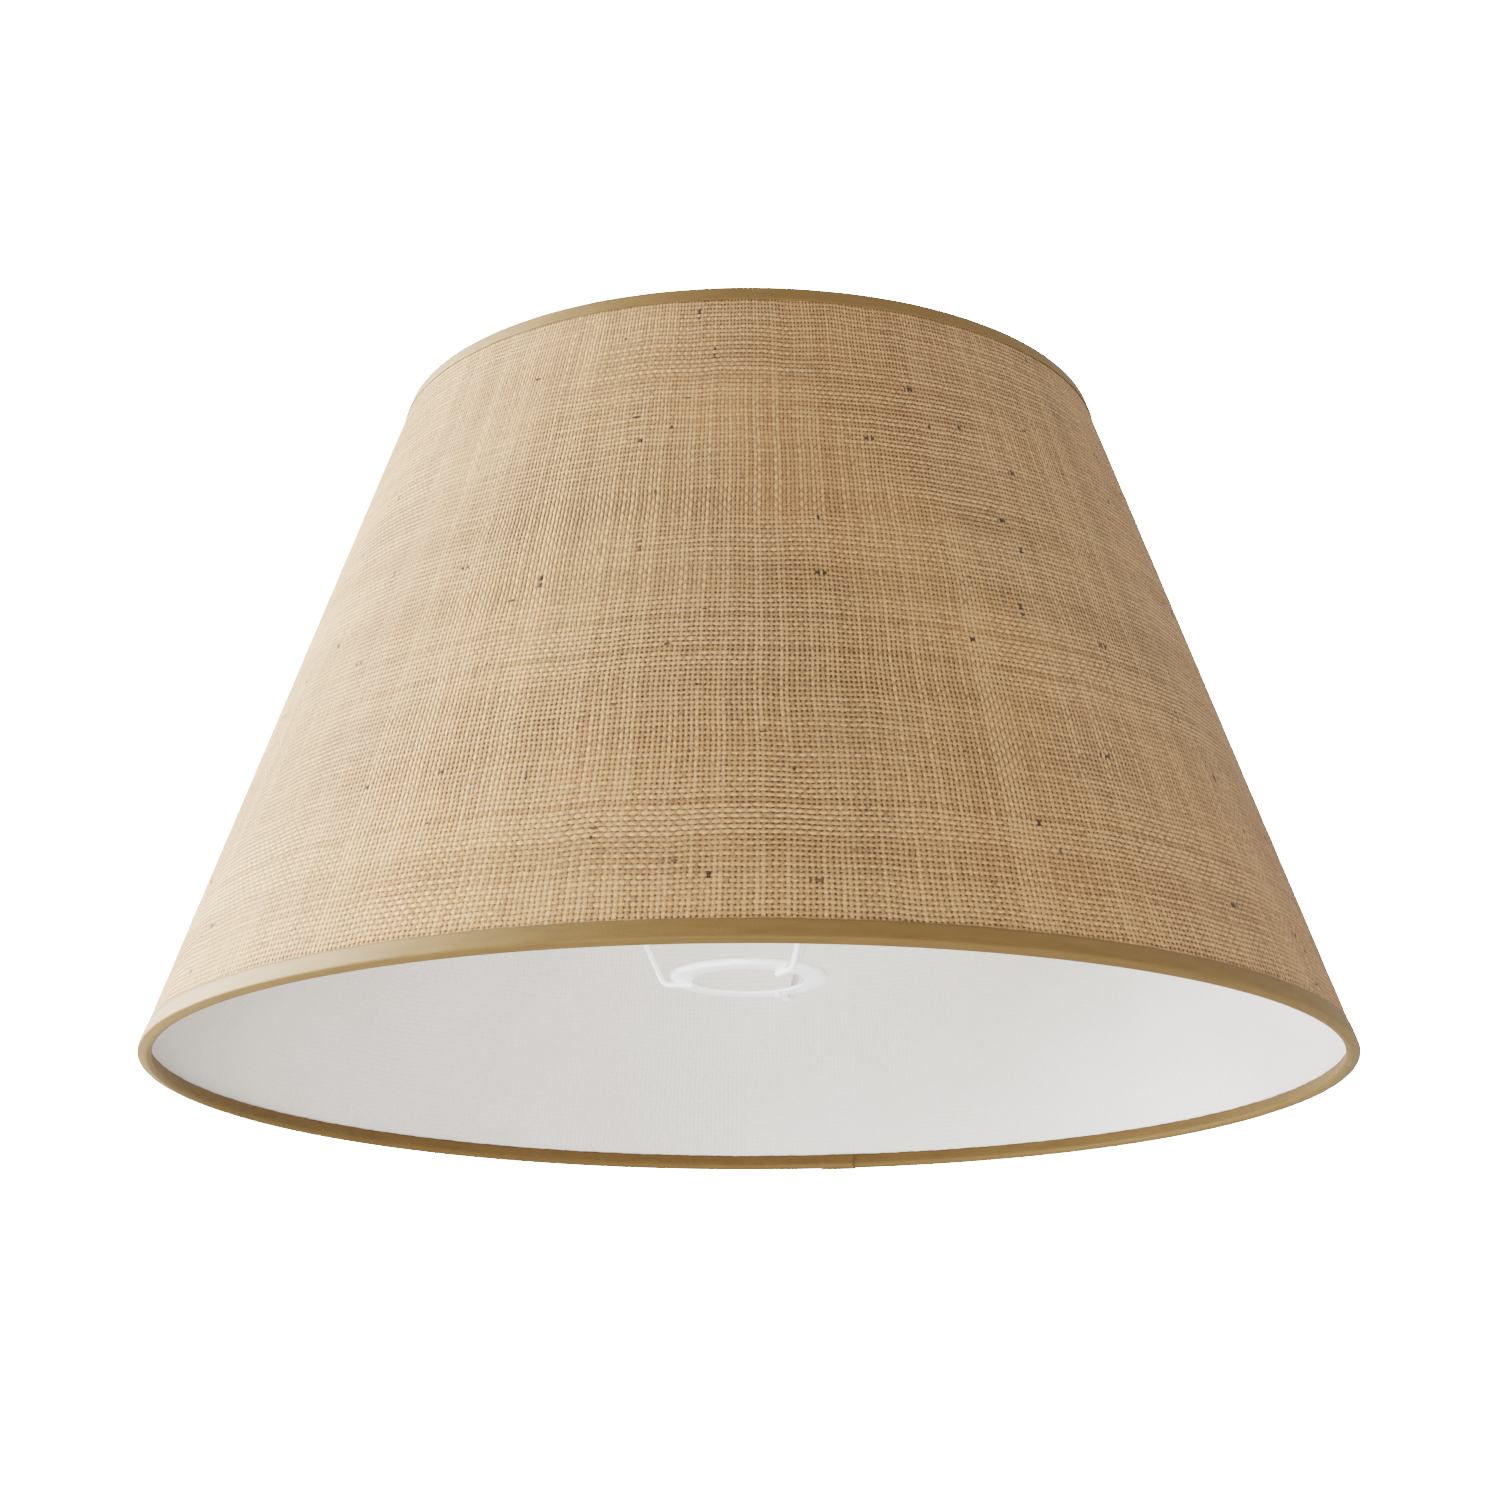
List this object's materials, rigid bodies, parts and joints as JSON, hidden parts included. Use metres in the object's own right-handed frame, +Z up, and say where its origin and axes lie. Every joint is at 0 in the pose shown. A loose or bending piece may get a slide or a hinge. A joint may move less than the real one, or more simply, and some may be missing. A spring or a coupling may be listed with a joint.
{
  "type": "lamp shade",
  "caption": "Empire lamp shade: jute-covered cone on a white lining, taped rims, wire frame with a flanged fitter ring near the bottom.",
  "frame": {"origin": "on the shade's axis, level with the lowest point of the bottom rim", "axes": "+Z up along the axis, from the wide bottom rim to the narrow top rim; the glued lap of the panel is at +Y and the first arm at -X"},
  "size_m": [0.4504, 0.4519, 0.26],
  "materials": {
    "frame_paint": "white powder coat",
    "rim_wire": "white powder coat, hidden in the rims",
    "lining": "satin white lining sheet",
    "jute": "natural jute, open plain weave",
    "tape": "khaki satin-cotton binding tape",
    "adhesive": "clear adhesive strip"
  },
  "bodies": {
    "root": {"top_wire_ring": "rim_wire", "bottom_wire_ring": "rim_wire", "fitter_ring": "frame_paint", "arm_left": "frame_paint", "arm_front_right": "frame_paint", "arm_back_right": "frame_paint", "lining": "lining", "jute_cover": "jute", "lap_adhesive": "adhesive", "top_binding": "tape", "bottom_binding": "tape"}
  },
  "joints": []
}
